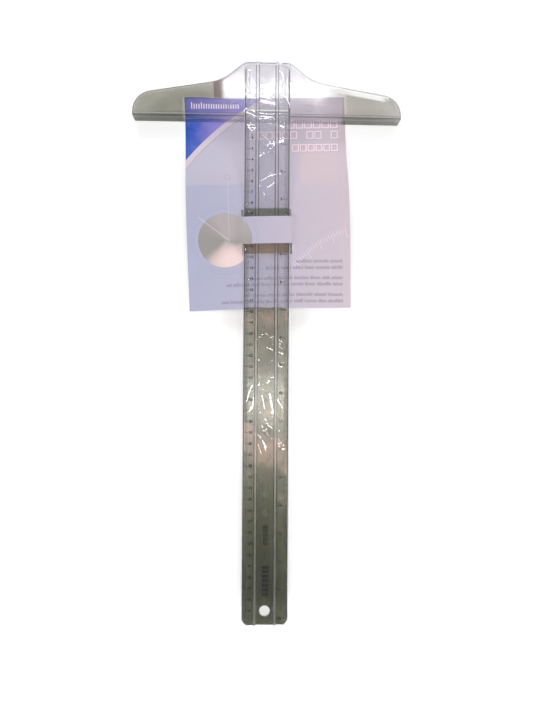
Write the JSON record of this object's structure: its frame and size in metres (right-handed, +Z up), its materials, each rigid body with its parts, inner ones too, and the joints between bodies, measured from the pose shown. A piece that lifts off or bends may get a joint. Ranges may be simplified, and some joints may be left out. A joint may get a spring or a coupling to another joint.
{
  "type": "t square",
  "caption": "Clear plastic T square with a ribbed, graduated blade, in a film sleeve and threaded through a printed display card that slides off along the blade.",
  "frame": {"origin": "Where the blade's centreline meets the working edge, on the blade's underside: the top of the fence's working face.", "axes": "+X along the head, with the inch scale's side of the blade towards +X; +Y from the blade's free end towards the head's crown; +Z up, away from the drawing board."},
  "size_m": [0.248, 0.5222, 0.0151],
  "materials": {
    "clear_plastic": "polished, see-through, faintly smoky",
    "clear_film": "thin clear wrinkled film",
    "printed_card": "coated and printed on its upper face"
  },
  "bodies": {
    "t_square": {"head": "clear_plastic", "blade": "clear_plastic"},
    "sleeve": {"film_front": "clear_film", "film_back": "clear_film"},
    "card": {"display_card": "printed_card"}
  },
  "joints": [
    {"name": "card_slide", "type": "slide", "parent": "t_square", "child": "card", "axis": [0, -1, 0], "range_m": [0, 0.385]},
    {"name": "sleeve_slide", "type": "slide", "parent": "t_square", "child": "sleeve", "axis": [0, -1, 0], "range_m": [0, 0.52]}
  ]
}
